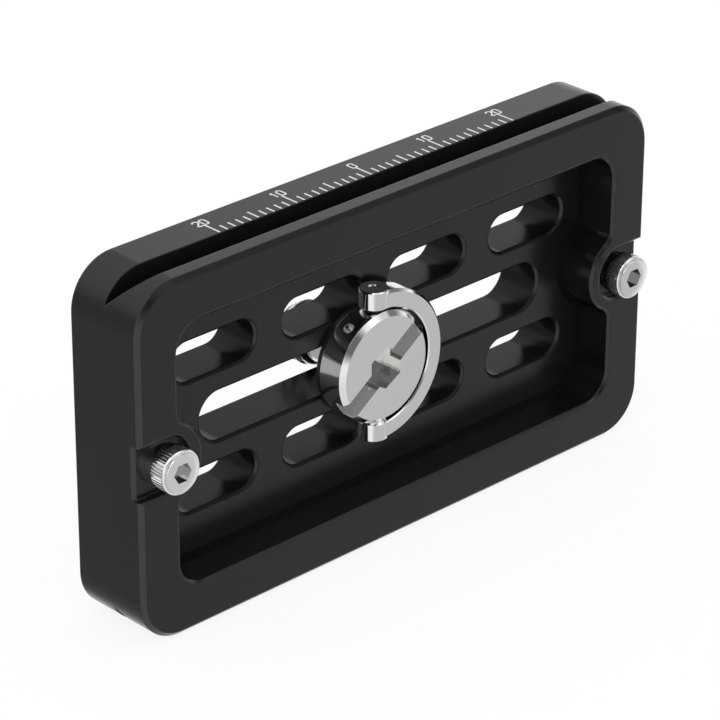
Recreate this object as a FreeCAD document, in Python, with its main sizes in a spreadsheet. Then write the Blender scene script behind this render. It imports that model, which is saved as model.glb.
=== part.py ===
import FreeCAD, Part
import math
import os
import re
import Sketcher

# Quick release plate for a tripod head: a milled dovetail plate with a captive camera screw.
# Frame: X runs along the plate, Z across it, and +Y points at the camera.
# The origin is the middle of the plane that the camera rests on, and the part stands on a long edge.

os.makedirs("parts", exist_ok=True)
doc = FreeCAD.newDocument("quick_release_plate")


# Driving dimensions, in millimetres and degrees
sheet = doc.addObject("Spreadsheet::Sheet", "Sizes")
SIZES = {
    # milled plate
    "plate_length": 70.0,
    "plate_width": 38.0,
    "plate_thickness": 10.0,
    "corner_radius": 5.0,
    "edge_chamfer": 0.5,
    "back_chamfer": 0.6,
    "groove_root": 5.05,
    "groove_depth": 3.0,
    # pocket in the face that looks down at the tripod
    "end_wall": 5.0,
    "side_wall": 5.0,
    "pocket_depth": 4.5,
    "pocket_corner": 3.0,
    "pocket_rim": 0.3,
    "floor_chamfer": 0.5,
    # slots through the pocket floor
    "slot_margin": 6.5,
    "slot_width": 5.3,
    "slot_rim": 0.25,
    "slot_back_chamfer": 0.4,
    "entry_bore": 6.5,
    "window_margin": 3.05,
    "window_web": 3.7,
    "window_width": 4.2,
    "row_web": 2.35,
    # bosses and notches round the stop screws
    "stop_inset": 3.6,
    "boss_radius": 4.4,
    "boss_root": 0.4,
    "boss_blend": 1.6,
    "notch_radius": 2.9,
    "notch_depth": 1.0,
    "notch_rim": 0.25,
    "notch_end_chamfer": 0.4,
    # grip strips let into the camera face
    "strip_end": 8.0,
    "strip_width": 4.6,
    "strip_inset": 4.8,
    "strip_recess": 0.6,
    "strip_proud": 0.2,
    "strip_gap": 0.05,
    # stop screws
    "stop_head_radius": 2.33,
    "stop_head_height": 3.0,
    "stop_disc_radius": 1.98,
    "stop_disc_rise": 0.12,
    "stop_base_radius": 2.2,
    "stop_base_height": 1.0,
    "stop_bevel": 0.3,
    "stop_shank_radius": 1.25,
    "stop_shank_length": 5.0,
    "stop_hole_extra": 0.6,
    "stop_socket": 1.9,
    "stop_socket_depth": 1.3,
    "knurl_count": 44,
    "knurl_depth": 0.1,
    "thread_gap": 0.03,
    # camera screw
    "screw_place": -2.1,
    "head_radius": 6.0,
    "head_height": 3.25,
    "head_bevel": 0.5,
    "neck_radius": 2.4,
    "neck_length": 5.55,
    "stud_radius": 3.175,
    "stud_reach": 3.7,
    "stud_tip": 0.45,
    "coin_width": 2.0,
    "coin_depth": 1.5,
    "coin_angle": 35.0,
    "socket_flats": 4.0,
    "socket_depth": 2.5,
    "dimple_radius": 0.55,
    "dimple_depth": 0.8,
    "dimple_angle": 35.0,
    # washer under the head
    "washer_radius": 6.0,
    "washer_height": 0.5,
    "washer_gap": 0.08,
    # folding ring and its pins
    "ring_gap": 0.3,
    "ring_band": 1.91,
    "ring_thickness": 2.5,
    "ring_face": 1.53,
    "ring_inner_chamfer": 0.12,
    "ring_outer_chamfer": 0.3,
    "pivot_height": 1.93,
    "ear_radius": 1.55,
    "ear_proud": 0.09,
    "ear_gap": 0.1,
    "ear_neck": 0.3,
    "ear_rim": 0.12,
    "pin_radius": 0.65,
    "pin_sink": 0.1,
    "pin_grip": 1.8,
    "pin_gap": 0.04,
    "pin_press_gap": 0.01,
    "pin_bore_end": 0.2,
}
for row, (word, number) in enumerate(SIZES.items(), start=1):
    sheet.set("A%d" % row, word)
    sheet.set("B%d" % row, str(number))
    sheet.setAlias("B%d" % row, word)
doc.recompute()


# Lengths that follow from the driving ones, each as a formula in a cell of its own
DERIVED = {
    "pocket_length": "plate_length - 2 * end_wall",
    "pocket_width": "plate_width - 2 * side_wall",
    "slot_length": "pocket_length - 2 * slot_margin",
    "window_length": "(pocket_length - 2 * window_margin - 3 * window_web) / 4",
    "window_pitch": "window_length + window_web",
    "row_place": "slot_width / 2 + row_web + window_width / 2",
    "stop_place": "plate_length / 2 - stop_inset",
    "strip_length": "plate_length - 2 * strip_end",
    "strip_place": "plate_width / 2 - strip_inset",
    "ring_inner": "head_radius + ring_gap",
    "ring_outer": "ring_inner + ring_band",
    "ear_length": "ring_outer + ear_proud - head_radius - ear_gap",
}
for row, (word, formula) in enumerate(DERIVED.items(), start=len(SIZES) + 1):
    sheet.set("A%d" % row, word)
    sheet.set("B%d" % row, "=" + formula)
    sheet.setAlias("B%d" % row, word)
doc.recompute()


def size(word):
    return float(sheet.get(word))


def bind(thing, prop, formula):
    """Tie a property to a formula of sizes, such as 'plate_width / 2'."""
    words = set(SIZES) | set(DERIVED)
    full = re.sub("[a-z_]+", lambda found: "Sizes." + found[0] if found[0] in words else found[0], formula)
    thing.setExpression(prop, full)


# Bodies and the planes, sketches and features in them
def new_body(label):
    body = doc.addObject("PartDesign::Body", label)
    body.Label = label
    return body


def datum(body, role):
    return next(item for item in body.Origin.OriginFeatures if item.Role == role)


def new_sketch(body, name, role, lift=None):
    """A sketch on one of the body's own planes, raised along the plane's normal by a formula."""
    sketch = body.newObject("Sketcher::SketchObject", name)
    sketch.AttachmentSupport = [(datum(body, role), "")]
    sketch.MapMode = "FlatFace"
    if lift:
        bind(sketch, "AttachmentOffset.Base.z", lift)
    return sketch


def join(sketch, kind, *refs):
    sketch.addConstraint(Sketcher.Constraint(kind, *refs))


def measure(sketch, name, kind, refs, formula):
    """Add a dimension with the value that the geometry has now, then tie it to the sheet."""
    if kind == "Radius":
        value = sketch.Geometry[refs[0]].Radius
    elif kind == "DistanceX":
        value = sketch.getPoint(*refs[2:]).x - sketch.getPoint(*refs[:2]).x
    else:
        value = sketch.getPoint(*refs[2:]).y - sketch.getPoint(*refs[:2]).y
    index = sketch.addConstraint(Sketcher.Constraint(kind, *refs, value))
    sketch.renameConstraint(index, name)
    bind(sketch, "Constraints." + name, formula)


def origin():
    """The sketch's own origin, as constraints name it."""
    return -1, 1


def on_level(sketch, geometry, point):
    """Hold a point on the sketch's horizontal axis."""
    join(sketch, "PointOnObject", geometry, point, -1)


def on_upright(sketch, geometry, point):
    """Hold a point on the sketch's vertical axis."""
    join(sketch, "PointOnObject", geometry, point, -2)


def add_line(sketch, start, end):
    return sketch.addGeometry(Part.LineSegment(FreeCAD.Vector(*start, 0), FreeCAD.Vector(*end, 0)))


def circle_at(centre, radius):
    return Part.Circle(FreeCAD.Vector(*centre, 0), FreeCAD.Vector(0, 0, 1), radius)


def add_arc(sketch, centre, radius, first, last):
    arc = Part.ArcOfCircle(circle_at(centre, radius), math.radians(first), math.radians(last))
    return sketch.addGeometry(arc)


def add_path(sketch, points):
    """A closed run of straight lines through the points; returns the first line's number."""
    count = len(points)
    lines = [add_line(sketch, points[i], points[(i + 1) % count]) for i in range(count)]
    for i in range(count):
        join(sketch, "Coincident", lines[i], 2, lines[(i + 1) % count], 1)
    return lines[0]


def add_disc(sketch, name, height, radius, height_formula, radius_formula):
    """A circle on the sketch's vertical axis, or at its origin where the height is nothing."""
    disc = sketch.addGeometry(circle_at((0, height), radius))
    if height_formula:
        on_upright(sketch, disc, 3)
        ends = (*origin(), disc, 3) if height > 0 else (disc, 3, *origin())
        measure(sketch, name + "_height", "DistanceY", ends, height_formula)
    else:
        join(sketch, "Coincident", disc, 3, *origin())
    measure(sketch, name + "_radius", "Radius", (disc,), radius_formula)


def add_rectangle(sketch, length, width, length_formula, width_formula):
    """A rectangle centred on the sketch's origin."""
    x, y = length / 2, width / 2
    first = add_path(sketch, [(-x, -y), (x, -y), (x, y), (-x, y)])
    for side in (0, 2):
        join(sketch, "Horizontal", first + side)
    for side in (1, 3):
        join(sketch, "Vertical", first + side)
    join(sketch, "Symmetric", first, 1, first + 1, 2, *origin())
    measure(sketch, "length", "DistanceX", (first, 1, first, 2), length_formula)
    measure(sketch, "width", "DistanceY", (first + 1, 1, first + 1, 2), width_formula)


def add_obround(sketch, centre, length, width):
    """A slot outline with round ends, lying along the sketch's x; returns its two end arcs."""
    radius = width / 2
    reach = length / 2 - radius
    x, y = centre
    top = add_line(sketch, (x - reach, y + radius), (x + reach, y + radius))
    right = add_arc(sketch, (x + reach, y), radius, -90, 90)
    bottom = add_line(sketch, (x + reach, y - radius), (x - reach, y - radius))
    left = add_arc(sketch, (x - reach, y), radius, 90, 270)
    join(sketch, "Tangent", top, 2, right, 2)
    join(sketch, "Tangent", right, 1, bottom, 1)
    join(sketch, "Tangent", bottom, 2, left, 2)
    join(sketch, "Tangent", left, 1, top, 1)
    join(sketch, "Horizontal", top)
    join(sketch, "Equal", left, right)
    return left, right


def add_hexagon(sketch, flats, formula, corner_up):
    """A regular hexagon round the origin, with a corner on the sketch's y or x axis."""
    corner = flats / math.sqrt(3)
    turn = 90 if corner_up else 0
    angles = [math.radians(turn + 60 * i) for i in range(6)]
    first = add_path(sketch, [(corner * math.cos(a), corner * math.sin(a)) for a in angles])
    guide = sketch.addGeometry(circle_at((0, 0), corner), True)
    join(sketch, "Coincident", guide, 3, *origin())
    for i in range(6):
        join(sketch, "PointOnObject", first + i, 1, guide)
    for i in range(5):
        join(sketch, "Equal", first + i, first + i + 1)
    if corner_up:
        on_upright(sketch, first, 1)
    else:
        on_level(sketch, first, 1)
    if corner_up:
        measure(sketch, "flats", "DistanceX", (first + 1, 1, first + 5, 1), formula)
    else:
        measure(sketch, "flats", "DistanceY", (first + 5, 1, first + 1, 1), formula)


def extrude(body, kind, name, sketch, length=None, reverse=False, both_ways=False):
    """A Pad or Pocket; with no length it goes right through."""
    feature = body.newObject("PartDesign::" + kind, name)
    feature.Profile = sketch
    if length:
        bind(feature, "Length", length)
    else:
        feature.Type = "ThroughAll"
    feature.Reversed = reverse
    if both_ways:
        feature.SideType = "Symmetric"
    doc.recompute()
    return feature


def revolve(body, name, sketch):
    """Turn a profile right round the sketch's vertical axis."""
    feature = body.newObject("PartDesign::Revolution", name)
    feature.Profile = sketch
    feature.ReferenceAxis = (sketch, ["V_Axis"])
    feature.Angle = 360
    doc.recompute()
    return feature


def mirror(body, name, originals, role):
    feature = body.newObject("PartDesign::Mirrored", name)
    feature.Originals = originals
    feature.MirrorPlane = (datum(body, role), [""])
    body.Tip = feature
    doc.recompute()
    return feature


def dress(body, kind, name, formula, test):
    """Fillet or chamfer every edge of the body so far whose middle point passes the test."""
    base = body.Tip
    chosen = []
    for number, edge in enumerate(base.Shape.Edges, start=1):
        middle = edge.valueAt((edge.FirstParameter + edge.LastParameter) / 2)
        if test(middle, edge):
            chosen.append("Edge%d" % number)
    feature = body.newObject("PartDesign::" + kind, name)
    feature.Base = (base, chosen)
    bind(feature, "Radius" if kind == "Fillet" else "Size", formula)
    doc.recompute()
    return feature


NEAR = 0.01


def near(a, b):
    return abs(a - b) < NEAR


def within(a, b):
    return a < b + NEAR


def runs_deep(edge):
    """True for a straight edge that runs through the plate's thickness."""
    ends = [vertex.Point for vertex in edge.Vertexes]
    if len(ends) < 2 or edge.Curve.TypeId != "Part::GeomLine":
        return False
    way = (ends[1] - ends[0]).normalize()
    return near(abs(way.y), 1)


# Plate, in its own frame: the camera side at y = 0 and the tripod side at FRONT
FRONT = -size("plate_thickness")
FLOOR = FRONT + size("pocket_depth")
HALF_LENGTH = size("plate_length") / 2
POCKET_X = size("pocket_length") / 2
POCKET_Z = size("pocket_width") / 2
STOP_X = size("stop_place")


def make_blank(body):
    """The rounded bar, with its long edges grooved to the dovetail that clamps grip."""
    outline = new_sketch(body, "outline", "XZ_Plane")
    add_rectangle(outline, size("plate_length"), size("plate_width"), "plate_length", "plate_width")
    extrude(body, "Pad", "blank", outline, "plate_thickness")
    dress(body, "Fillet", "corners", "corner_radius", lambda p, e: runs_deep(e))
    dress(body, "Chamfer", "tripod_side_chamfer", "edge_chamfer", lambda p, e: near(p.y, FRONT))
    dress(body, "Chamfer", "camera_side_chamfer", "back_chamfer", lambda p, e: near(p.y, 0))

    # the cutter's outline is a triangle: an upright back wall and a wall at 45 degrees
    root = FRONT + size("groove_root")
    low = size("plate_width") / 2 - size("groove_depth")
    leg = 2 * size("groove_depth")
    profile = new_sketch(body, "dovetail", "YZ_Plane")
    first = add_path(profile, [(root, low), (root, low + leg), (root - leg, low + leg)])
    join(profile, "Vertical", first)
    join(profile, "Horizontal", first + 1)
    join(profile, "Equal", first, first + 1)
    measure(profile, "root", "DistanceX", (first, 1, *origin()), "plate_thickness - groove_root")
    measure(profile, "low", "DistanceY", (*origin(), first, 1), "plate_width / 2 - groove_depth")
    measure(profile, "leg", "DistanceY", (first, 1, first, 2), "2 * groove_depth")
    groove = extrude(body, "Pocket", "upper_groove", profile, both_ways=True)
    mirror(body, "lower_groove", [groove], "XY_Plane")


def make_pocket(body):
    """The milled recess, with a round boss left at each end for a stop screw."""
    outline = new_sketch(body, "pocket_outline", "XZ_Plane", "plate_thickness")
    add_rectangle(outline, size("pocket_length"), size("pocket_width"), "pocket_length", "pocket_width")
    extrude(body, "Pocket", "pocket", outline, "pocket_depth")
    dress(body, "Fillet", "pocket_corners", "pocket_corner",
          lambda p, e: runs_deep(e) and near(abs(p.x), POCKET_X) and near(abs(p.z), POCKET_Z))

    chord = POCKET_X + size("boss_root")
    radius = size("boss_radius")
    angle = math.degrees(math.acos((chord - STOP_X) / radius))
    rise = radius * math.sin(math.radians(angle))
    shape = new_sketch(body, "boss_outline", "XZ_Plane", "plate_thickness")
    arc = add_arc(shape, (STOP_X, 0), radius, angle, 360 - angle)
    line = add_line(shape, (chord, -rise), (chord, rise))
    join(shape, "Coincident", arc, 2, line, 1)
    join(shape, "Coincident", line, 2, arc, 1)
    join(shape, "Vertical", line)
    on_level(shape, arc, 3)
    measure(shape, "radius", "Radius", (arc,), "boss_radius")
    measure(shape, "middle", "DistanceX", (*origin(), arc, 3), "stop_place")
    measure(shape, "chord", "DistanceX", (*origin(), line, 1), "pocket_length / 2 + boss_root")
    boss = extrude(body, "Pad", "right_boss", shape, "pocket_depth", reverse=True)
    mirror(body, "left_boss", [boss], "YZ_Plane")
    dress(body, "Fillet", "boss_blends", "boss_blend",
          lambda p, e: runs_deep(e) and near(abs(p.x), POCKET_X) and abs(p.z) < radius and p.y < FLOOR)
    dress(body, "Chamfer", "floor_edge", "floor_chamfer",
          lambda p, e: near(p.y, FLOOR) and within(abs(p.x), POCKET_X) and within(abs(p.z), POCKET_Z))
    dress(body, "Chamfer", "pocket_rim_chamfer", "pocket_rim",
          lambda p, e: near(p.y, FRONT) and within(abs(p.x), POCKET_X) and within(abs(p.z), POCKET_Z))


def on_slot(point):
    """True on the outline of the long slot or of a window, seen along the plate's thickness."""
    across, up = abs(point.x), abs(point.z)
    entry = size("entry_bore") / 2
    in_long_slot = within(across, size("slot_length") / 2) and within(up, entry)
    window_reach = 1.5 * size("window_pitch") + size("window_length") / 2
    off_row = abs(up - size("row_place"))
    return in_long_slot or (within(across, window_reach) and within(off_row, size("window_width") / 2))


def make_slots(body):
    """The screw's long slot with its tapped way in, and the two rows of windows beside it."""
    shape = new_sketch(body, "long_slot", "XZ_Plane")
    left, right = add_obround(shape, (0, 0), size("slot_length"), size("slot_width"))
    join(shape, "Symmetric", left, 3, right, 3, *origin())
    measure(shape, "half_width", "Radius", (right,), "slot_width / 2")
    measure(shape, "reach", "DistanceX", (left, 3, right, 3), "slot_length - slot_width")
    extrude(body, "Pocket", "screw_slot", shape, both_ways=True)

    bore = new_sketch(body, "entry", "XZ_Plane")
    add_disc(bore, "entry", 0, size("entry_bore") / 2, None, "entry_bore / 2")
    extrude(body, "Pocket", "entry_hole", bore, both_ways=True)

    window = new_sketch(body, "windows", "XZ_Plane")
    start = -1.5 * size("window_pitch")
    for name, side in (("upper", 1), ("lower", -1)):
        row = side * size("row_place")
        left, right = add_obround(window, (start, row), size("window_length"), size("window_width"))
        ends = (*origin(), right, 3) if side > 0 else (right, 3, *origin())
        measure(window, name + "_radius", "Radius", (right,), "window_width / 2")
        measure(window, name + "_reach", "DistanceX", (left, 3, right, 3), "window_length - window_width")
        measure(window, name + "_start", "DistanceX", (left, 3, *origin()),
                "1.5 * window_pitch + (window_length - window_width) / 2")
        measure(window, name + "_row", "DistanceY", ends, "row_place")
    cut = extrude(body, "Pocket", "first_windows", window, both_ways=True)
    rows = body.newObject("PartDesign::LinearPattern", "window_rows")
    rows.Originals = [cut]
    rows.Direction = (window, ["H_Axis"])
    bind(rows, "Length", "3 * window_pitch")
    rows.Occurrences = 4
    body.Tip = rows
    doc.recompute()

    dress(body, "Chamfer", "slot_front_chamfer", "slot_rim", lambda p, e: near(p.y, FLOOR) and on_slot(p))
    dress(body, "Chamfer", "slot_rear_chamfer", "slot_back_chamfer",
          lambda p, e: near(p.y, 0) and on_slot(p))


def make_stop_seats(body):
    """A notch open to the plate's end and a screw hole, the same at both ends."""
    radius = size("notch_radius")
    far = HALF_LENGTH + radius
    notch = new_sketch(body, "notch", "XZ_Plane", "plate_thickness")
    arc = add_arc(notch, (STOP_X, 0), radius, 90, 270)
    low = add_line(notch, (STOP_X, -radius), (far, -radius))
    end = add_line(notch, (far, -radius), (far, radius))
    top = add_line(notch, (far, radius), (STOP_X, radius))
    join(notch, "Tangent", arc, 2, low, 1)
    join(notch, "Coincident", low, 2, end, 1)
    join(notch, "Coincident", end, 2, top, 1)
    join(notch, "Tangent", top, 2, arc, 1)
    join(notch, "Horizontal", top)
    join(notch, "Vertical", end)
    on_level(notch, arc, 3)
    measure(notch, "radius", "Radius", (arc,), "notch_radius")
    measure(notch, "middle", "DistanceX", (*origin(), arc, 3), "stop_place")
    measure(notch, "far", "DistanceX", (*origin(), end, 1), "plate_length / 2 + notch_radius")
    cut = extrude(body, "Pocket", "right_notch", notch, "notch_depth")

    hole = new_sketch(body, "stop_hole", "XZ_Plane", "plate_thickness")
    ring = hole.addGeometry(circle_at((STOP_X, 0), size("stop_shank_radius") + size("thread_gap")))
    on_level(hole, ring, 3)
    measure(hole, "radius", "Radius", (ring,), "stop_shank_radius + thread_gap")
    measure(hole, "middle", "DistanceX", (*origin(), ring, 3), "stop_place")
    drilled = extrude(body, "Pocket", "right_hole", hole,
                      "notch_depth + stop_shank_length + stop_hole_extra")
    mirror(body, "left_seat", [cut, drilled], "YZ_Plane")

    ledge = FRONT + size("notch_depth")
    rim_end = HALF_LENGTH - size("edge_chamfer")
    dress(body, "Chamfer", "notch_rim_chamfer", "notch_rim",
          lambda p, e: near(p.y, FRONT) and within(abs(p.z), radius)
          and STOP_X - radius < abs(p.x) + NEAR and abs(p.x) < rim_end - NEAR)
    dress(body, "Chamfer", "notch_end", "notch_end_chamfer",
          lambda p, e: near(p.y, ledge) and near(abs(p.x), HALF_LENGTH))


def make_strip_troughs(body):
    """A shallow trough for each grip strip in the camera face."""
    gap = size("strip_gap")
    shape = new_sketch(body, "strip_trough", "XZ_Plane")
    left, right = add_obround(shape, (0, size("strip_place")), size("strip_length") + 2 * gap,
                              size("strip_width") + 2 * gap)
    measure(shape, "radius", "Radius", (right,), "strip_width / 2 + strip_gap")
    measure(shape, "reach", "DistanceX", (left, 3, right, 3), "strip_length - strip_width")
    measure(shape, "start", "DistanceX", (left, 3, *origin()), "(strip_length - strip_width) / 2")
    measure(shape, "row", "DistanceY", (*origin(), right, 3), "strip_place")
    trough = extrude(body, "Pocket", "upper_trough", shape, "strip_recess", reverse=True)
    mirror(body, "lower_trough", [trough], "XY_Plane")


def make_plate():
    body = new_body("plate")
    make_blank(body)
    make_pocket(body)
    make_slots(body)
    make_stop_seats(body)
    make_strip_troughs(body)
    bind(body, "Placement.Base.y", "-1 * strip_proud")
    return body


# Grip strips
def make_strip(label, side):
    """A rubber strip with round ends, glued in its trough and standing a little proud."""
    body = new_body(label)
    shape = new_sketch(body, label + "_outline", "XZ_Plane")
    left, right = add_obround(shape, (0, 0), size("strip_length"), size("strip_width"))
    join(shape, "Symmetric", left, 3, right, 3, *origin())
    measure(shape, "radius", "Radius", (right,), "strip_width / 2")
    measure(shape, "reach", "DistanceX", (left, 3, right, 3), "strip_length - strip_width")
    extrude(body, "Pad", label + "_pad", shape, "strip_recess + strip_proud")
    bind(body, "Placement.Base.z", "%d * strip_place" % side)
    return body


# Stop screws
def make_stop_screw(label, side):
    """A small cap screw: knurled head over a plain base, hexagon socket, shank in the plate."""
    body = new_body(label)
    head, base, disc = size("stop_head_radius"), size("stop_base_radius"), size("stop_disc_radius")
    shank, bevel = size("stop_shank_radius"), size("stop_bevel")
    top, step = -size("stop_head_height"), -size("stop_base_height")
    ledge = top + size("stop_disc_rise")
    foot = size("stop_shank_length")
    rim = "stop_head_height - stop_disc_rise - stop_bevel"
    profile = new_sketch(body, label + "_profile", "XY_Plane")
    points = [(0, top), (disc, top), (disc, ledge), (head, ledge + bevel), (head, step), (base, step),
              (base, 0), (shank, 0), (shank, foot - bevel), (shank - bevel, foot), (0, foot)]
    first = add_path(profile, points)
    on_upright(profile, first, 1)
    on_upright(profile, first + 10, 1)
    for flat in (0, 4, 6, 9):
        join(profile, "Horizontal", first + flat)
    for upright in (1, 3, 5, 7):
        join(profile, "Vertical", first + upright)
    on_level(profile, first + 6, 1)
    measure(profile, "disc", "DistanceX", (*origin(), first, 2), "stop_disc_radius")
    measure(profile, "head", "DistanceX", (*origin(), first + 3, 1), "stop_head_radius")
    measure(profile, "base", "DistanceX", (*origin(), first + 5, 1), "stop_base_radius")
    measure(profile, "shank", "DistanceX", (*origin(), first + 7, 1), "stop_shank_radius")
    measure(profile, "point", "DistanceX", (*origin(), first + 9, 1), "stop_shank_radius - stop_bevel")
    measure(profile, "height", "DistanceY", (first, 1, *origin()), "stop_head_height")
    measure(profile, "ledge", "DistanceY", (first + 2, 1, *origin()), "stop_head_height - stop_disc_rise")
    measure(profile, "rim", "DistanceY", (first + 3, 1, *origin()), rim)
    measure(profile, "step", "DistanceY", (first + 5, 1, *origin()), "stop_base_height")
    measure(profile, "foot", "DistanceY", (*origin(), first + 9, 1), "stop_shank_length")
    measure(profile, "foot_rim", "DistanceY", (*origin(), first + 7, 2), "stop_shank_length - stop_bevel")
    revolve(body, label + "_turned", profile)

    socket = new_sketch(body, label + "_socket", "XZ_Plane", "stop_head_height")
    add_hexagon(socket, size("stop_socket"), "stop_socket", corner_up=False)
    extrude(body, "Pocket", label + "_hexagon", socket, "stop_socket_depth")

    # one knurl groove is a small triangle cut into the rim, repeated round the head
    depth = size("knurl_depth")
    groove = new_sketch(body, label + "_groove", "XZ_Plane", rim)
    first = add_path(groove, [(head - depth, 0), (head + depth, 2 * depth), (head + depth, -2 * depth)])
    on_level(groove, first, 1)
    join(groove, "Symmetric", first + 1, 1, first + 1, 2, -1)
    measure(groove, "bottom", "DistanceX", (*origin(), first, 1), "stop_head_radius - knurl_depth")
    measure(groove, "mouth", "DistanceX", (*origin(), first + 1, 1), "stop_head_radius + knurl_depth")
    measure(groove, "spread", "DistanceY", (first + 1, 2, first + 1, 1), "4 * knurl_depth")
    cut = extrude(body, "Pocket", label + "_first_groove", groove, rim + " - stop_base_height")
    knurl = body.newObject("PartDesign::PolarPattern", label + "_knurl")
    knurl.Originals = [cut]
    knurl.Axis = (datum(body, "Y_Axis"), [""])
    knurl.Angle = 360
    bind(knurl, "Occurrences", "knurl_count")
    body.Tip = knurl
    bind(body, "Placement.Base.x", "%d * stop_place" % side)
    bind(body, "Placement.Base.y", "notch_depth - plate_thickness - strip_proud")
    return body


# Camera screw, in its own frame: the head's underside at y = 0 and the stud towards +y
PIVOT_Y = size("washer_height") - size("pivot_height")


def add_dimple(body):
    """A shallow drilled mark in the head's rim, turned away from the upper pin."""
    angle = size("dimple_angle")
    bottom = size("head_radius") - size("dimple_depth")
    sketch = new_sketch(body, "dimple_circle", "XY_Plane")
    tilt = FreeCAD.Rotation(FreeCAD.Vector(0, 1, 0), -angle)
    sketch.AttachmentOffset = FreeCAD.Placement(tilt.multVec(FreeCAD.Vector(0, 0, bottom)), tilt)
    bind(sketch, "AttachmentOffset.Base.x", "-1 * (head_radius - dimple_depth) * sin(dimple_angle)")
    bind(sketch, "AttachmentOffset.Base.z", "(head_radius - dimple_depth) * cos(dimple_angle)")
    add_disc(sketch, "dimple", PIVOT_Y, size("dimple_radius"), "pivot_height - washer_height", "dimple_radius")
    extrude(body, "Pocket", "dimple", sketch, reverse=True)


def make_camera_screw():
    """One turned piece: flat head, neck that rides in the slot, and the threaded stud."""
    body = new_body("camera_screw")
    head, bevel, height = size("head_radius"), size("head_bevel"), size("head_height")
    neck, neck_end = size("neck_radius"), size("neck_length")
    stud, tip = size("stud_radius"), size("stud_tip")
    top = "plate_thickness - pocket_depth + washer_height + strip_proud + stud_reach"
    web = size("plate_thickness") - size("pocket_depth")
    stud_end = web + size("washer_height") + size("strip_proud") + size("stud_reach")
    profile = new_sketch(body, "screw_profile", "XY_Plane")
    points = [(0, -height), (head - bevel, -height), (head, bevel - height), (head, 0), (neck, 0),
              (neck, neck_end), (stud, neck_end + stud - neck), (stud, stud_end - tip),
              (stud - tip, stud_end), (0, stud_end)]
    first = add_path(profile, points)
    on_upright(profile, first, 1)
    on_upright(profile, first + 9, 1)
    on_level(profile, first + 3, 1)
    for flat in (0, 3, 8):
        join(profile, "Horizontal", first + flat)
    for upright in (2, 4, 6):
        join(profile, "Vertical", first + upright)
    measure(profile, "face", "DistanceX", (*origin(), first, 2), "head_radius - head_bevel")
    measure(profile, "head", "DistanceX", (*origin(), first + 2, 1), "head_radius")
    measure(profile, "neck", "DistanceX", (*origin(), first + 4, 1), "neck_radius")
    measure(profile, "stud", "DistanceX", (*origin(), first + 6, 1), "stud_radius")
    measure(profile, "point", "DistanceX", (*origin(), first + 8, 1), "stud_radius - stud_tip")
    measure(profile, "height", "DistanceY", (first, 1, *origin()), "head_height")
    measure(profile, "rim", "DistanceY", (first + 2, 1, *origin()), "head_height - head_bevel")
    measure(profile, "neck_end", "DistanceY", (*origin(), first + 4, 2), "neck_length")
    measure(profile, "shoulder", "DistanceY", (*origin(), first + 6, 1),
            "neck_length + stud_radius - neck_radius")
    measure(profile, "thread_end", "DistanceY", (*origin(), first + 6, 2), top + " - stud_tip")
    measure(profile, "stud_end", "DistanceY", (*origin(), first + 8, 1), top)
    revolve(body, "turned", profile)

    coin = new_sketch(body, "coin_slot", "XZ_Plane", "head_height")
    add_rectangle(coin, 2 * head + size("coin_width"), size("coin_width"),
                  "2 * head_radius + coin_width", "coin_width")
    bind(coin, "AttachmentOffset.Rotation.Angle", "coin_angle")
    extrude(body, "Pocket", "coin_cut", coin, "coin_depth")

    socket = new_sketch(body, "hexagon", "XZ_Plane", "head_height")
    add_hexagon(socket, size("socket_flats"), "socket_flats", corner_up=True)
    extrude(body, "Pocket", "socket", socket, "socket_depth")

    # cross holes for the ring's pins, drilled in from the rim at top and bottom
    hole = new_sketch(body, "pin_hole", "XY_Plane", "head_radius - pin_grip - pin_bore_end")
    add_disc(hole, "pin", PIVOT_Y, size("pin_radius") + size("pin_gap"),
             "pivot_height - washer_height", "pin_radius + pin_gap")
    upper = extrude(body, "Pocket", "upper_pin_hole", hole, reverse=True)
    mirror(body, "lower_pin_hole", [upper], "XY_Plane")
    add_dimple(body)
    bind(body, "Placement.Base.x", "screw_place")
    bind(body, "Placement.Base.y", "pocket_depth - plate_thickness - strip_proud - washer_height")
    return body


# Washer
def make_washer():
    """A thin nylon disc that lets the head slide on the pocket floor."""
    body = new_body("screw_washer")
    shape = new_sketch(body, "washer_outline", "XZ_Plane")
    add_disc(shape, "outer", 0, size("washer_radius"), None, "washer_radius")
    add_disc(shape, "inner", 0, size("neck_radius") + size("washer_gap"), None, "neck_radius + washer_gap")
    extrude(body, "Pad", "washer_disc", shape, "washer_height")
    bind(body, "Placement.Base.x", "screw_place")
    bind(body, "Placement.Base.y", "pocket_depth - plate_thickness - strip_proud")
    return body


# Folding ring and its pins, in their own frame: the hinge line is the z axis
def place_on_hinge(body):
    bind(body, "Placement.Base.x", "screw_place")
    bind(body, "Placement.Base.y", "pocket_depth - plate_thickness - strip_proud - pivot_height")


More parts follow.
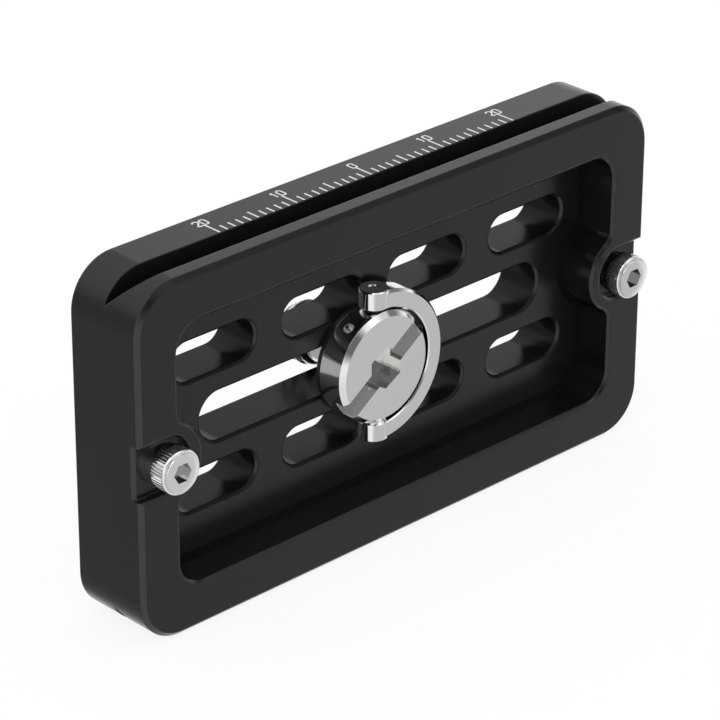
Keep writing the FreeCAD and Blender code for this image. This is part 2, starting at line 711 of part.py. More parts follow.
def add_ear(body, name, side):
    """A round ear on the hinge line, chamfered at both ends and more so beside the head."""
    radius, neck, rim = size("ear_radius"), size("ear_neck"), size("ear_rim")
    start = size("head_radius") + size("ear_gap")
    end = start + size("ear_length")
    corners = [(0, start), (radius - neck, start), (radius, start + neck),
               (radius, end - rim), (radius - rim, end), (0, end)]
    profile = new_sketch(body, name + "_profile", "XZ_Plane")
    first = add_path(profile, [(across, side * height) for across, height in corners])
    on_upright(profile, first, 1)
    on_upright(profile, first + 5, 1)
    join(profile, "Horizontal", first)
    join(profile, "Horizontal", first + 4)
    join(profile, "Vertical", first + 2)
    for word, ends, formula in (
            ("start", (*origin(), first, 1), "head_radius + ear_gap"),
            ("neck", (first + 1, 1, first + 1, 2), "ear_neck"),
            ("rim", (first + 3, 1, first + 3, 2), "ear_rim"),
            ("length", (first, 1, first + 5, 1), "ear_length")):
        measure(profile, word, "DistanceY", ends if side > 0 else ends[2:] + ends[:2], formula)
    measure(profile, "inner_face", "DistanceX", (*origin(), first, 2), "ear_radius - ear_neck")
    measure(profile, "radius", "DistanceX", (*origin(), first + 2, 1), "ear_radius")
    measure(profile, "outer_face", "DistanceX", (*origin(), first + 4, 1), "ear_radius - ear_rim")
    revolve(body, name, profile)


def make_ring():
    """A flat half ring cast in one piece with a round ear at each end."""
    body = new_body("pull_ring")
    outer, inner = size("ring_outer"), size("ring_inner")
    shape = new_sketch(body, "ring_outline", "XZ_Plane", "ring_face - ring_thickness")
    outside = add_arc(shape, (0, 0), outer, -90, 90)
    above = add_line(shape, (0, outer), (0, inner))
    inside = add_arc(shape, (0, 0), inner, -90, 90)
    below = add_line(shape, (0, -inner), (0, -outer))
    join(shape, "Coincident", outside, 3, *origin())
    join(shape, "Coincident", inside, 3, *origin())
    join(shape, "Coincident", outside, 2, above, 1)
    join(shape, "Coincident", above, 2, inside, 2)
    join(shape, "Coincident", inside, 1, below, 1)
    join(shape, "Coincident", below, 2, outside, 1)
    on_upright(shape, above, 1)
    on_upright(shape, above, 2)
    on_upright(shape, below, 1)
    on_upright(shape, below, 2)
    measure(shape, "outer", "Radius", (outside,), "ring_outer")
    measure(shape, "inner", "Radius", (inside,), "ring_inner")
    extrude(body, "Pad", "half_ring", shape, "ring_thickness")
    middle = (outer + inner) / 2
    dress(body, "Chamfer", "inner_edges", "ring_inner_chamfer",
          lambda p, e: e.Curve.TypeId == "Part::GeomCircle" and e.Curve.Radius < middle)
    dress(body, "Chamfer", "outer_edges", "ring_outer_chamfer",
          lambda p, e: e.Curve.TypeId == "Part::GeomCircle" and e.Curve.Radius > middle)

    add_ear(body, "upper_ear", 1)
    add_ear(body, "lower_ear", -1)

    bore = new_sketch(body, "ear_bore", "XY_Plane")
    add_disc(bore, "bore", 0, size("pin_radius") + size("pin_press_gap"), None, "pin_radius + pin_press_gap")
    extrude(body, "Pocket", "ear_bores", bore, both_ways=True)
    place_on_hinge(body)
    return body


def make_pin(label, side):
    """A short steel pin, pressed into an ear and turning in the head."""
    body = new_body(label)
    lift = "head_radius - pin_grip"
    length = "pin_grip + ear_gap + ear_length - pin_sink"
    if side < 0:
        lift = "-1 * (head_radius - pin_grip)"
    shape = new_sketch(body, label + "_outline", "XY_Plane", lift)
    add_disc(shape, "pin", 0, size("pin_radius"), None, "pin_radius")
    extrude(body, "Pad", label + "_pad", shape, length, reverse=side < 0)
    place_on_hinge(body)
    return body


def build_all():
    bodies = [
        make_plate(),
        make_strip("grip_strip_top", 1),
        make_strip("grip_strip_bottom", -1),
        make_stop_screw("stop_screw_right", 1),
        make_stop_screw("stop_screw_left", -1),
        make_camera_screw(),
        make_washer(),
        make_ring(),
        make_pin("ring_pin_top", 1),
        make_pin("ring_pin_bottom", -1),
    ]
    doc.recompute()
    return bodies


def check(bodies):
    """Stop with a plain message if an object failed or a piece isn't a single sound solid."""
    for item in doc.Objects:
        if {"Invalid", "Error"} & set(item.State):
            raise RuntimeError("%s did not build: %s" % (item.Name, item.State))
    for body in bodies:
        shape = body.Shape
        if shape.isNull() or not shape.isValid() or len(shape.Solids) != 1:
            raise RuntimeError("%s is not one sound solid" % body.Label)


pieces = build_all()
check(pieces)
for piece in pieces:
    piece.Shape.exportStep("parts/%s.step" % piece.Label)
    box = piece.Shape.BoundBox
    print("%-18s volume %8.2f mm3, x %.2f to %.2f, y %.2f to %.2f, z %.2f to %.2f" % (
        piece.Label, piece.Shape.Volume, box.XMin, box.XMax, box.YMin, box.YMax, box.ZMin, box.ZMax))
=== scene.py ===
import math

import bmesh
import bpy
from mathutils import Euler, Matrix, Vector


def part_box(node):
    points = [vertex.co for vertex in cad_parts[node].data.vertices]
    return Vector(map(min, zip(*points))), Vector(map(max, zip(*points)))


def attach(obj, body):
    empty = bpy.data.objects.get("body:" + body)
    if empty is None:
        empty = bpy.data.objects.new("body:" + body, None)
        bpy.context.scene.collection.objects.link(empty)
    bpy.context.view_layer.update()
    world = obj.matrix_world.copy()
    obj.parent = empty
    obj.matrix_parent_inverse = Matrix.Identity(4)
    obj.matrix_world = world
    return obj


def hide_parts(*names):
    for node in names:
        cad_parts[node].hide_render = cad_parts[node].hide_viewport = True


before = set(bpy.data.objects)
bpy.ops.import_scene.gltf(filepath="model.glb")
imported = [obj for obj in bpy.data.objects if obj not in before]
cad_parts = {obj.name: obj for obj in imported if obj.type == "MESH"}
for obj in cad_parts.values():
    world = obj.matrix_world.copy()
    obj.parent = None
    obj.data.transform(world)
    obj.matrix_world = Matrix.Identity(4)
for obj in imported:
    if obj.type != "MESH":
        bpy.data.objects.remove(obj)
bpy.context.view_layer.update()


# Camera and studio: a long lens looks down at the plate, which stands on its edge on a pale table.
# Two large soft lamps and a white room light it, and a third lamp behind catches the top edge.
MM = 0.001
SENSOR_WIDTH = 36.0
FOCAL_LENGTH = 180.916
NEAREST_SEEN = 0.01
CAMERA_PLACE = Vector((-227.22, -239.52, 161.48)) * MM
CAMERA_RIGHT = Vector((0.72176, -0.69213, 0.00398))
CAMERA_UP = Vector((0.30643, 0.32469, 0.8948))
scene = bpy.context.scene
scene.view_settings.view_transform = "Standard"

lens = bpy.data.cameras.new("camera")
lens.sensor_width = SENSOR_WIDTH
lens.lens = FOCAL_LENGTH
lens.clip_start = NEAREST_SEEN
lens.dof.use_dof = False
camera = bpy.data.objects.new("camera", lens)
aim = Matrix((CAMERA_RIGHT, CAMERA_UP, CAMERA_RIGHT.cross(CAMERA_UP))).transposed()
camera.matrix_world = Matrix.Translation(CAMERA_PLACE) @ aim.to_quaternion().to_matrix().to_4x4()
scene.collection.objects.link(camera)
scene.camera = camera


class Wire:
    """A shader output that takes part in Python arithmetic, one Math node for each operation."""

    def __init__(self, shader, socket):
        self.shader = shader
        self.socket = socket

    def maths(self, operation, first, second):
        return self.shader.node("ShaderNodeMath", {"operation": operation}, {0: first, 1: second})

    def __add__(self, other):
        return self.maths("ADD", self, other)

    def __sub__(self, other):
        return self.maths("SUBTRACT", self, other)

    def __rsub__(self, other):
        return self.maths("SUBTRACT", other, self)

    def __mul__(self, other):
        return self.maths("MULTIPLY", self, other)

    def __pow__(self, other):
        return self.maths("POWER", self, other)

    def __gt__(self, other):
        return self.maths("GREATER_THAN", self, other)

    def __lt__(self, other):
        return self.maths("LESS_THAN", self, other)

    __radd__ = __add__
    __rmul__ = __mul__


class Shader:
    """The nodes of a material or of the world; every node is made and wired by one method."""

    def __init__(self, owner):
        owner.use_nodes = True
        self.owner = owner
        self.tree = owner.node_tree
        self.tree.nodes.clear()

    def node(self, kind, settings=None, sockets=None, output=0):
        """Make a node, set it, give its sockets values or wires, and return one of its outputs."""
        made = self.tree.nodes.new(kind)
        for name, value in (settings or {}).items():
            if name == "stops":
                ramp = made.color_ramp
                while len(ramp.elements) < len(value):
                    ramp.elements.new(1.0)
                for element, (position, tone) in zip(ramp.elements, value):
                    element.position = position
                    element.color = (tone, tone, tone, 1.0)
            else:
                setattr(made, name, value)
        for name, value in (sockets or {}).items():
            if isinstance(value, Wire):
                self.tree.links.new(made.inputs[name], value.socket)
            else:
                made.inputs[name].default_value = value
        return Wire(self, made.outputs[output]) if made.outputs else None

    def seen(self, *ways):
        """1 for rays that arrive in one of the ways, otherwise 0."""
        return sum(self.node("ShaderNodeLightPath", output="Is %s Ray" % way) for way in ways)

    def mix(self, share, low, high):
        """The colour low where share is 0 and high where it is 1."""
        settings = {"data_type": "RGBA"}
        return self.node("ShaderNodeMix", settings, {0: share, 6: (*low, 1.0), 7: (*high, 1.0)}, 2)

    def dot(self, first, second):
        """How far two directions agree: 1 where they are the same and 0 where they are square."""
        return self.node("ShaderNodeVectorMath", {"operation": "DOT_PRODUCT"}, {0: first, 1: second}, 1)

    def rise(self, value, low, high):
        """0 up to low, 1 from high, and even between them."""
        return self.node("ShaderNodeValToRGB", {"stops": [(low, 0.0), (high, 1.0)]}, {"Fac": value})

    def split(self, place):
        """The x, y and z of a place."""
        return [self.node("ShaderNodeSeparateXYZ", None, {0: place}, axis) for axis in range(3)]

    def close(self, surface):
        """Lead a finished surface to the output, which ends the material or the world."""
        world = isinstance(self.owner, bpy.types.World)
        kind = "ShaderNodeOutputWorld" if world else "ShaderNodeOutputMaterial"
        self.node(kind, None, {"Surface": surface})


# The room is white. Its soft grey areas show in reflections alone, as the dark side of a studio does.
# Each has a direction, the cosines of the angles at its rim and its core, and the light that it takes.
WHITE = (1, 1, 1, 1)
ROOM_LIGHT = 0.7
GREY_AREAS = [
    ((-0.4, -0.78, 0.48), 0.86, 0.975, 0.85),
    ((0.72, -0.37, 0.58), 0.88, 0.975, 0.8),
    ((0.155, -0.88, -0.446), 0.58, 0.8, 0.42),
    ((-0.62, 0.645, -0.446), 0.6, 0.85, 0.6),
    ((0.317, 0.811, 0.492), 0.925, 0.975, 0.5)]
scene.world = bpy.data.worlds.new("white_room")
room = Shader(scene.world)
way = room.node("ShaderNodeTexCoord", output="Generated")
brightness = 1.0
for middle, rim, core, loss in GREY_AREAS:
    grey = room.rise(room.dot(way, Vector(middle).normalized()), rim, core)
    brightness = brightness * (1.0 - loss * grey)
dim = room.node("ShaderNodeBackground", None, {"Color": WHITE, "Strength": ROOM_LIGHT})
plain = room.node("ShaderNodeBackground", None, {"Color": WHITE, "Strength": 1.0})
mirrored = room.node("ShaderNodeBackground", None, {"Color": WHITE, "Strength": brightness})
shown = room.node("ShaderNodeMixShader", None, {0: room.seen("Glossy"), 1: plain, 2: mirrored})
is_shown = room.seen("Camera", "Glossy", "Transmission")
room.close(room.node("ShaderNodeMixShader", None, {0: is_shown, 1: dim, 2: shown}))

# The table keeps the plate's shadow, and glows just enough to look as white as the room.
TABLE_HALF = 2.0
TABLE_GLOW = 0.85
GLOW_STRENGTH = 1.04
table = Shader(bpy.data.materials.new("pale_table"))
board = table.node("ShaderNodeBsdfPrincipled", None, {
    "Base Color": (0.9, 0.9, 0.9, 1), "Roughness": 0.9, "Specular IOR Level": 0.0})
glow = table.node("ShaderNodeEmission", None, {"Color": WHITE, "Strength": GLOW_STRENGTH})
glowing = table.seen("Camera", "Transmission") * TABLE_GLOW
table.close(table.node("ShaderNodeMixShader", None, {0: glowing, 1: board, 2: glow}))

table_shape = bmesh.new()
bmesh.ops.create_grid(table_shape, x_segments=1, y_segments=1, size=TABLE_HALF)
bmesh.ops.translate(table_shape, verts=table_shape.verts, vec=(0, 0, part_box("plate")[0].z))


def finish_mesh(shape, name):
    """Turn a bmesh into an object that sits at the origin, with its place in its mesh."""
    mesh = bpy.data.meshes.new(name)
    shape.to_mesh(mesh)
    shape.free()
    made = bpy.data.objects.new(name, mesh)
    scene.collection.objects.link(made)
    return made


floor = finish_mesh(table_shape, "table")
floor.data.materials.append(table.owner)
floor.visible_glossy = False


def soft_lamp(name, bearing, height, distance, width, power):
    """A square soft lamp that looks at the plate; bearing 0 is in front, and 90 is at the right."""
    data = bpy.data.lights.new(name, "AREA")
    data.size = width
    data.energy = power
    lamp = bpy.data.objects.new(name, data)
    turn = Euler((math.radians(90 - height), 0, math.radians(bearing)))
    place = turn.to_matrix() @ Vector((0, 0, distance))
    lamp.matrix_world = Matrix.Translation(place) @ turn.to_matrix().to_4x4()
    scene.collection.objects.link(lamp)


soft_lamp("key_lamp", bearing=-75, height=55, distance=0.9, width=0.5, power=1.2)
soft_lamp("fill_lamp", bearing=40, height=40, distance=1.0, width=0.6, power=0.6)
soft_lamp("rear_lamp", bearing=140, height=60, distance=1.0, width=0.8, power=0.5)


# Plate: one piece of milled aluminium, bead blasted and then anodised satin black.
# Its shape is the CAD node's own. The blasting shows as a very fine grain in the gloss. The left
# chamfer is painted paler, as a highlight, and the pocket floor's edge, the window walls, the top
# chamfer and the lower window rims are painted darker, as shade, by mixing in a matte black.
SKIN_BLACK = (0.0075, 0.0075, 0.0077)
SKIN_HIGHLIGHT = (0.03, 0.03, 0.031)
GRAIN_SCALE = 6000.0
EDGE_RADIUS = 0.25
LEFT_CHAMFER = (-0.707, -0.707, 0)
TOP_CHAMFER = (0, -0.707, 0.707)
ON_CHAMFER = (0.86, 0.97)
FLOOR_EDGE = (-6.5, -5.69)
CORNER_SPREAD = 3.0
WINDOW_RIMS = (-5.7, -5.4)
WINDOW_WALLS = (-5.4, -0.3)
WINDOWS_LONG = (-28.0, 28.0)
WINDOWS_HIGH = (-11.5, 11.5)
TOP_FLANGE = (17.0, 20.0)
# How much painted shade each of these places takes.
WINDOW_WALL_SHADE = 0.45
TOP_CHAMFER_SHADE = 0.35
LOWER_RIM_SHADE = 0.7


def within(place, limits):
    """1 between two limits in millimetres, otherwise 0."""
    return (place > limits[0] * MM) * (place < limits[1] * MM)


blasted = Shader(bpy.data.materials.new("black_anodising"))
spot = blasted.node("ShaderNodeTexCoord", output="Object")
faces = blasted.node("ShaderNodeTexCoord", output="Normal")
grain = blasted.node("ShaderNodeTexNoise", None, {"Vector": spot, "Scale": GRAIN_SCALE, "Detail": 2.0})
soft_edge = blasted.node("ShaderNodeBevel", {"samples": 6}, {"Radius": EDGE_RADIUS * MM})
bumps = blasted.node("ShaderNodeBump", None, {
    "Height": grain, "Strength": 0.35, "Distance": 0.02 * MM, "Normal": soft_edge})
# Painted highlight: the left chamfer's colour is paler, as a brighter reflection would make it.
painted_highlight = blasted.rise(blasted.dot(faces, LEFT_CHAMFER), *ON_CHAMFER)
rising = blasted.rise(blasted.dot(faces, TOP_CHAMFER), *ON_CHAMFER)
turned = blasted.dot(soft_edge, (0, -1, 0))
corner = blasted.node("ShaderNodeMath", {"operation": "MULTIPLY", "use_clamp": True}, {
    0: CORNER_SPREAD * turned, 1: (1.0 - turned ** 2.0) ** 0.5})
along, depth, height = blasted.split(spot)
# Painted shade: the pocket floor's edge, the window walls, the top chamfer and the lower window rims.
floor_edge = corner * within(depth, FLOOR_EDGE)
walls = within(depth, WINDOW_WALLS) * within(along, WINDOWS_LONG) * within(height, WINDOWS_HIGH)
top_edge = rising * within(height, TOP_FLANGE)
lower_rims = rising * within(depth, WINDOW_RIMS)
painted_shade = floor_edge + WINDOW_WALL_SHADE * walls + TOP_CHAMFER_SHADE * top_edge + LOWER_RIM_SHADE * lower_rims
skin = blasted.node("ShaderNodeBsdfPrincipled", None, {
    "Base Color": blasted.mix(painted_highlight, SKIN_BLACK, SKIN_HIGHLIGHT),
    "Roughness": 0.18 + 0.1 * grain, "IOR": 1.44, "Normal": bumps})
# A matte black without reflection, mixed in as painted shade.
painted_shade_black = blasted.node("ShaderNodeBsdfPrincipled", None, {
    "Base Color": (0.008, 0.008, 0.008, 1), "Roughness": 0.9, "Specular IOR Level": 0.0})
blasted.close(blasted.node("ShaderNodeMixShader", None, {0: painted_shade, 1: skin, 2: painted_shade_black}))
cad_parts["plate"].material_slots[0].material = blasted.owner


# Scale: ticks at every millimetre and figures at every ten, laser marked in white on the top edge.
# The marks are under a hundredth of a millimetre thick, and lie on the anodising.
TICK_WIDTH = 0.19
TICK_ROUNDING = 0.3 * TICK_WIDTH
TICK_FRONT = -5.05
TICK_ENDS = {"long": -2.8, "middle": -3.37, "short": -3.9}
MARK_HEIGHT = 0.008
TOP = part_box("plate")[1].z / MM
WELD = 0.0005


def edges_at(corners):
    """The edges that meet some corners, each once and in a fixed order."""
    return list(dict.fromkeys(edge for corner in corners for edge in corner.link_edges))


marks = bmesh.new()
for step in range(-20, 21):
    kind = "short" if step % 5 else "middle" if step % 10 else "long"
    length = TICK_ENDS[kind] - TICK_FRONT
    place = Matrix.Translation((step, TICK_FRONT + length / 2, TOP)) @ Matrix.Diagonal(
        (TICK_WIDTH, length, 2 * MARK_HEIGHT, 1))
    tick = bmesh.ops.create_cube(marks, size=1.0, matrix=place)["verts"]
    uprights = [edge for edge in edges_at(tick)
                if abs(edge.verts[0].co.z - edge.verts[1].co.z) > MARK_HEIGHT]
    bmesh.ops.bevel(marks, geom=uprights, offset=TICK_ROUNDING, segments=2, profile=0.5,
                    affect="EDGES", material=-1)
bmesh.ops.scale(marks, verts=marks.verts, vec=(MM, MM, MM))
ticks = finish_mesh(marks, "scale_ticks")

# Each figure is one pen stroke through a few points, closed or open.
STROKES = {
    "0": (True, [(-0.3, 0.0), (-0.3, 0.46), (-0.1, 0.56), (0.1, 0.56), (0.3, 0.46), (0.3, 0.0),
                 (0.3, -0.46), (0.1, -0.56), (-0.1, -0.56), (-0.3, -0.46)]),
    "1": (False, [(-0.24, 0.3), (-0.12, 0.4), (0.0, 0.56), (0.0, 0.56), (0.0, 0.0), (0.0, -0.56)]),
    "2": (False, [(-0.29, 0.3), (-0.28, 0.5), (-0.1, 0.57), (0.12, 0.57), (0.3, 0.48), (0.3, 0.22),
                  (0.18, 0.0), (-0.14, -0.32), (-0.3, -0.56), (-0.3, -0.56), (-0.3, -0.56), (0.0, -0.56),
                  (0.31, -0.56)]),
}
FIGURES = {-20: "20", -10: "10", 0: "0", 10: "10", 20: "20"}
FIGURE_PITCH = 0.84
FIGURE_MIDDLE = -2.25
STROKE_WIDTH = 0.2


def engrave(text, middle):
    """Draw figures as smooth pen strokes of one width, flattened on to the top edge."""
    flat = Matrix.Translation((0, 0, TOP)) @ Matrix.Diagonal((1, 1, 2 * MARK_HEIGHT / STROKE_WIDTH, 1))
    for place, figure in enumerate(text):
        closed, points = STROKES[figure]
        pen = bpy.data.curves.new("figure", "CURVE")
        pen.dimensions = "3D"
        pen.bevel_depth = STROKE_WIDTH / 2
        pen.bevel_resolution = 1
        pen.use_fill_caps = True
        pen.resolution_u = 6
        stroke = pen.splines.new("NURBS")
        stroke.points.add(len(points) - 1)
        shift = middle + (place - (len(text) - 1) / 2) * FIGURE_PITCH
        for point, (x, y) in zip(stroke.points, points):
            point.co = (x + shift, y + FIGURE_MIDDLE, 0, 1)
        stroke.order_u = 3
        stroke.use_cyclic_u = closed
        stroke.use_endpoint_u = not closed
        drawn = bpy.data.objects.new("figure", pen)
        scene.collection.objects.link(drawn)
        bpy.context.view_layer.update()
        smooth = drawn.evaluated_get(bpy.context.evaluated_depsgraph_get())
        mesh = bpy.data.meshes.new_from_object(smooth)
        mesh.transform(flat)
        figures.from_mesh(mesh)
        bpy.data.objects.remove(drawn)
        bpy.data.meshes.remove(mesh)
        bpy.data.curves.remove(pen)


figures = bmesh.new()
for step, text in FIGURES.items():
    engrave(text, step)
bmesh.ops.remove_doubles(figures, verts=figures.verts, dist=WELD)
bmesh.ops.scale(figures, verts=figures.verts, vec=(MM, MM, MM))
numerals = finish_mesh(figures, "scale_figures")

ink = Shader(bpy.data.materials.new("white_marking"))
spot = ink.node("ShaderNodeTexCoord", output="Object")
speckle = ink.node("ShaderNodeTexNoise", None, {"Vector": spot, "Scale": 12000.0, "Detail": 2.0})
ink.close(ink.node("ShaderNodeBsdfPrincipled", None, {
    "Base Color": ink.mix(speckle, (0.86, 0.86, 0.85), (1.0, 1.0, 0.99)),
    "Roughness": 0.55 + 0.2 * speckle}))
for piece in (ticks, numerals):
    piece.data.materials.append(ink.owner)
    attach(piece, "base")


# Stop screws: small stainless cap screws with knurled heads, screwed into the bosses.
# Each copies its CAD node, with a deeper groove round the raised disc and a rolled lip outside it.
# Turning marks run round the steel, and the socket walls are painted greyer, as shade.
POLISH = 0.07
TURNING_SCALE = 1600.0
CLOUD_SCALE = 500.0
EDGE_BREAK = 0.04
SOCKET_LIP = 0.03
ON_WALL = 0.95
STOP_X = 31.4
# The left screw's steel is painted brighter than the right's, as a brighter reflection; both are one
# steel.
STOP_TONES = {"stop_screw_left": (-STOP_X, 0.95), "stop_screw_right": (STOP_X, 0.86)}
STOP_SOCKET = [((0, 0, 1), 1.2, 0.68), ((-0.866, 0, -0.5), 1.2, 0.85), ((0, -1, 0), 1.2, 0.45)]
DISC_RADIUS = 1.98
DISC_FOOT = -12.08
DISC_TOP = -12.2
DISC_BEVEL = 0.08
GROOVE_FLOOR = -11.95
LIP = [(2.33, -11.78), (2.32, -11.9), (2.26, -12.0), (2.17, -12.05), (2.1, -12.05), (2.05, -11.99),
       (2.06, -11.9)]
LIP_STEPS = 64
STOP_SHARP = math.radians(30)
TOUCH = 0.01


def turned_steel(name, axis_x, tone, shade=None):
    """Stainless steel that was turned about an axis along y, at a place along x in millimetres."""
    steel = Shader(bpy.data.materials.new(name))
    spot = steel.node("ShaderNodeTexCoord", output="Object")
    home = steel.node("ShaderNodeMapping", {"vector_type": "POINT"}, {
        "Vector": spot, "Location": (-axis_x * MM, 0, 0)})
    rings = steel.node("ShaderNodeTexWave", {"wave_type": "RINGS", "rings_direction": "Y"}, {
        "Vector": home, "Scale": TURNING_SCALE, "Distortion": 1.5, "Detail": 2.0}, 1)
    cloud = steel.node("ShaderNodeTexNoise", None, {"Vector": home, "Scale": CLOUD_SCALE, "Detail": 3.0})
    soft_edge = steel.node("ShaderNodeBevel", {"samples": 6}, {"Radius": EDGE_BREAK * MM})
    turning = steel.node("ShaderNodeBump", None, {
        "Height": rings, "Strength": 0.06, "Distance": 0.01 * MM, "Normal": soft_edge})
    brightness = 0.92 + 0.08 * cloud
    if shade:
        brightness = brightness * shade(steel, home)
    steel.close(steel.node("ShaderNodeBsdfPrincipled", None, {
        "Base Color": steel.mix(brightness, (0, 0, 0), tone), "Metallic": 1.0,
        "Roughness": POLISH + 0.04 * rings + 0.03 * cloud, "Normal": turning}))
    return steel.owner


def copy_node(name):
    """A CAD node's mesh in millimetres, with its loose triangles joined."""
    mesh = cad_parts[name].data.copy()
    mesh.attributes.remove(mesh.attributes["custom_normal"])
    shape = bmesh.new()
    shape.from_mesh(mesh)
    bpy.data.meshes.remove(mesh)
    bmesh.ops.scale(shape, verts=shape.verts, vec=(1 / MM, 1 / MM, 1 / MM))
    bmesh.ops.remove_doubles(shape, verts=shape.verts, dist=WELD)
    return shape


def socket_shade(face, walls):
    """Painted shade on the walls of a socket below a face; each has a normal, a reach and a loss of
    light.
    """
    def shade(steel, home):
        across, depth, up = steel.split(home)
        faces = steel.node("ShaderNodeTexCoord", output="Normal")
        radius = (across ** 2.0 + up ** 2.0) ** 0.5
        inside = depth > (face + SOCKET_LIP) * MM
        light = 1.0
        for normal, reach, loss in walls:
            wall = inside * (steel.dot(faces, normal) > ON_WALL) * (radius < reach * MM)
            light = light * (1.0 - loss * wall)
        return light
    return shade


for name, (x, tone) in STOP_TONES.items():
    shape = copy_node(name)
    bmesh.ops.translate(shape, verts=shape.verts, vec=(-x, 0, 0))
    disc = {corner for corner in shape.verts
            if abs(math.hypot(corner.co.x, corner.co.z) - DISC_RADIUS) < TOUCH}
    for corner in disc:
        if abs(corner.co.y - DISC_FOOT) < TOUCH:
            corner.co.y = GROOVE_FLOOR
    upper = [edge for edge in shape.edges
             if all(end in disc and end.co.y < DISC_TOP + TOUCH for end in edge.verts)]
    bmesh.ops.bevel(shape, geom=upper, offset=DISC_BEVEL, segments=2, profile=0.5,
                    affect="EDGES", material=-1)
    points = [shape.verts.new((radius, height, 0)) for radius, height in LIP]
    lip = points + [shape.edges.new(pair) for pair in zip(points, points[1:] + points[:1])]
    bmesh.ops.spin(shape, geom=lip, cent=(0, 0, 0), axis=(0, 1, 0), angle=math.tau, steps=LIP_STEPS,
                   use_merge=True)
    bmesh.ops.recalc_face_normals(shape, faces=shape.faces)
    bmesh.ops.translate(shape, verts=shape.verts, vec=(x, 0, 0))
    bmesh.ops.scale(shape, verts=shape.verts, vec=(MM, MM, MM))
    cap_screw = finish_mesh(shape, name.replace("stop_screw", "cap_screw"))
    cap_screw.data.shade_smooth()
    cap_screw.data.set_sharp_from_angle(angle=STOP_SHARP)
    # The socket walls are painted greyer, as shade.
    cap_screw.data.materials.append(
        turned_steel("steel_of_" + name, x, (tone, tone, tone), socket_shade(DISC_TOP, STOP_SOCKET)))
    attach(cap_screw, "base")
    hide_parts(name)


# Camera screw: turned stainless steel with a flat head, a neck and a quarter inch stud.
# The head and neck copy the CAD node. The stud gets its real thread, 20 turns to the inch, whose crest
# is an eighth of the pitch wide and whose root is a quarter.
SCREW_X = -2.1
STEEL_TONE = (0.86, 0.86, 0.85)
HEAD_FACE = -9.45
HEAD_SOCKET = [((-0.5, 0, 0.866), 5.9, 0.4), ((-0.5, 0, 0.866), 2.4, 0.62)]
CUT = -0.7
CUT_GAP = 0.01
NECK_RADIUS = 2.4
NECK_END = -0.65
STUD_RADIUS = 3.175
STUD_TIP = 3.7
TIP_CHAMFER = 0.45
THREAD_ROOT = 2.49
THREAD_PITCH = 1.27
THREAD_WELD = 0.002
THREAD_SHARP = math.radians(28)
CREST_HALF = THREAD_PITCH / 16
FLANK = (THREAD_PITCH - THREAD_PITCH / 8 - THREAD_PITCH / 4) / 2
STEPS_A_TURN = 40
TURNS = 6
ON_PLANE = 0.0001


def cut_off(shape, height, side):
    """Cut away everything above the height, or below it where side is -1, and return the open rim."""
    whole = [*shape.verts, *shape.edges, *shape.faces]
    result = bmesh.ops.bisect_plane(shape, geom=whole, dist=ON_PLANE, plane_co=(0, height, 0),
                                    plane_no=(0, side, 0), clear_outer=True)
    return [item for item in result["geom_cut"] if isinstance(item, bmesh.types.BMEdge)]


thread = bmesh.new()
start = NECK_END - 2 * THREAD_PITCH
tooth = [(STUD_RADIUS, 0), (STUD_RADIUS, CREST_HALF), (THREAD_ROOT, CREST_HALF + FLANK),
         (THREAD_ROOT, THREAD_PITCH - CREST_HALF - FLANK), (STUD_RADIUS, THREAD_PITCH - CREST_HALF),
         (STUD_RADIUS, THREAD_PITCH)]
corners = [thread.verts.new((radius, start + height, 0)) for radius, height in tooth]
flanks = [thread.edges.new(pair) for pair in zip(corners, corners[1:])]
bmesh.ops.subdivide_edges(thread, edges=[flanks[1], flanks[3]], cuts=3)
bmesh.ops.spin(thread, geom=[*thread.verts, *thread.edges], cent=(0, 0, 0), axis=(0, 1, 0),
               dvec=(0, THREAD_PITCH / STEPS_A_TURN, 0), angle=TURNS * math.tau,
               steps=TURNS * STEPS_A_TURN)
bmesh.ops.remove_doubles(thread, verts=thread.verts, dist=THREAD_WELD)
for corner in thread.verts:
    reach = math.hypot(corner.co.x, corner.co.z)
    shoulder = max(NECK_RADIUS, NECK_RADIUS + corner.co.y - NECK_END)
    point = STUD_RADIUS - TIP_CHAMFER + max(0, STUD_TIP - corner.co.y)
    squeeze = min(1, shoulder / reach, point / reach)
    corner.co.x *= squeeze
    corner.co.z *= squeeze
tip = cut_off(thread, STUD_TIP, 1)
bmesh.ops.edgeloop_fill(thread, edges=tip)
cut_off(thread, CUT + CUT_GAP, -1)
bmesh.ops.translate(thread, verts=thread.verts, vec=(SCREW_X, 0, 0))
stud_mesh = bpy.data.meshes.new("stud")
thread.to_mesh(stud_mesh)
thread.free()

screw = copy_node("camera_screw")
cut_off(screw, CUT, 1)
screw.from_mesh(stud_mesh)
bpy.data.meshes.remove(stud_mesh)
bmesh.ops.bridge_loops(screw, edges=[edge for edge in screw.edges if edge.is_boundary])
bmesh.ops.recalc_face_normals(screw, faces=screw.faces)
bmesh.ops.scale(screw, verts=screw.verts, vec=(MM, MM, MM))
whole_screw = finish_mesh(screw, "threaded_screw")
whole_screw.data.shade_smooth()
whole_screw.data.set_sharp_from_angle(angle=THREAD_SHARP)
# The head's slot and socket walls are painted darker, as shade.
whole_screw.data.materials.append(
    turned_steel("steel_of_camera_screw", SCREW_X, STEEL_TONE, socket_shade(HEAD_FACE, HEAD_SOCKET)))
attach(whole_screw, "screw")
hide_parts("camera_screw")


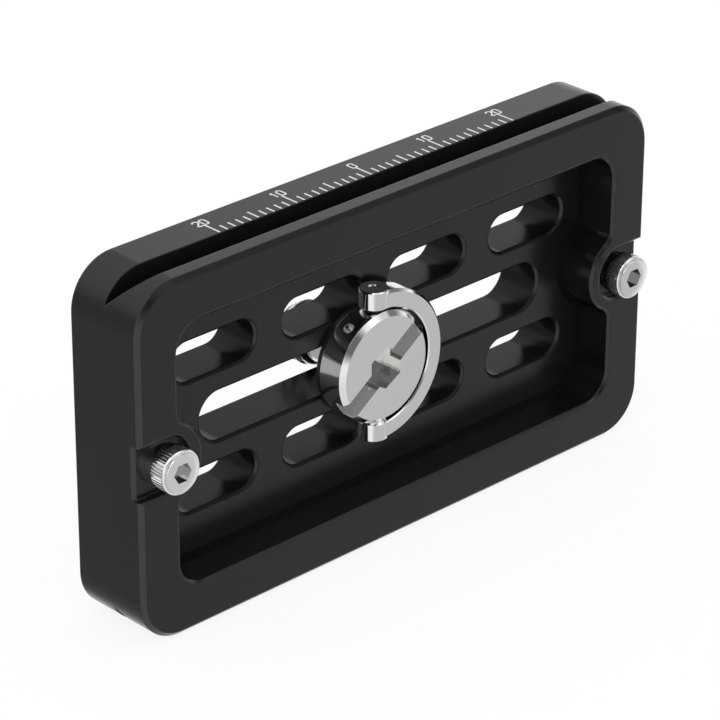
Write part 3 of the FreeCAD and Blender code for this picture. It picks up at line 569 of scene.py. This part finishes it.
# Washer: a thin black nylon disc between the screw's head and the floor of the recess.
# It is punched from smooth sheet, so it has only a slight sheen and faint clouds in its colour.
nylon = Shader(bpy.data.materials.new("black_nylon"))
spot = nylon.node("ShaderNodeTexCoord", output="Object")
cloud = nylon.node("ShaderNodeTexNoise", None, {"Vector": spot, "Scale": 900.0, "Detail": 3.0})
nylon.close(nylon.node("ShaderNodeBsdfPrincipled", None, {
    "Base Color": nylon.mix(cloud, (0.012, 0.012, 0.012), (0.02, 0.02, 0.02)),
    "Roughness": 0.38 + 0.1 * cloud}))
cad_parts["screw_washer"].material_slots[0].material = nylon.owner


# Folding ring and its two pins: a flat half ring of stainless steel, hinged in the head's rim.
# The pins are pressed into the ears and turn in the head. All three keep the CAD nodes' shapes.
ring_steel = turned_steel("steel_of_ring", SCREW_X, STEEL_TONE)
for name in ("pull_ring", "ring_pin_top", "ring_pin_bottom"):
    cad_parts[name].material_slots[0].material = ring_steel


# Grip strips: black rubber let into the camera side, so that the camera can't twist.
# Each is a moulded strip with fine ribs across it, glued in its trough.
RIB_PITCH = 1.0
RIB_WIDTH = 0.62
RIB_HEIGHT = 0.2
RIB_ROUNDING = 0.15
RIB_INSET = 0.1
END_MARGIN = 0.3
rubber = Shader(bpy.data.materials.new("grip_rubber"))
spot = rubber.node("ShaderNodeTexCoord", output="Object")
cloud = rubber.node("ShaderNodeTexNoise", None, {"Vector": spot, "Scale": 2500.0, "Detail": 4.0})
pores = rubber.node("ShaderNodeBump", None, {"Height": cloud, "Strength": 0.3, "Distance": 0.03 * MM})
rubber.close(rubber.node("ShaderNodeBsdfPrincipled", None, {
    "Base Color": rubber.mix(cloud, (0.018, 0.018, 0.019), (0.032, 0.032, 0.033)),
    "Roughness": 0.62 + 0.15 * cloud, "Normal": pores}))
for name in ("grip_strip_top", "grip_strip_bottom"):
    low, high = [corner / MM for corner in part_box(name)]
    end_radius = (high.z - low.z) / 2
    middle = (high.z + low.z) / 2
    strip = copy_node(name)
    outer_face = [corner for corner in strip.verts if corner.co.y > high.y - RIB_HEIGHT]
    bmesh.ops.translate(strip, verts=outer_face, vec=(0, -RIB_HEIGHT, 0))
    count = int((high.x - RIB_WIDTH / 2 - END_MARGIN) / RIB_PITCH)
    for step in range(-count, count + 1):
        past = max(0, abs(step) * RIB_PITCH + RIB_WIDTH / 2 - (high.x - end_radius))
        reach = math.sqrt(end_radius ** 2 - past ** 2) - RIB_INSET
        place = Matrix.Translation((step * RIB_PITCH, high.y - RIB_HEIGHT, middle)) @ Matrix.Diagonal(
            (RIB_WIDTH, 2 * RIB_HEIGHT, 2 * reach, 1))
        rib = bmesh.ops.create_cube(strip, size=1.0, matrix=place)["verts"]
        crest = [edge for edge in edges_at(rib) if min(end.co.y for end in edge.verts) > high.y - TOUCH]
        bmesh.ops.bevel(strip, geom=crest, offset=RIB_ROUNDING, segments=2, profile=0.5,
                        affect="EDGES", material=-1)
    bmesh.ops.scale(strip, verts=strip.verts, vec=(MM, MM, MM))
    ribbed = finish_mesh(strip, "ribbed_" + name)
    ribbed.data.materials.append(rubber.owner)
    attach(ribbed, "base")
    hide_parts(name)
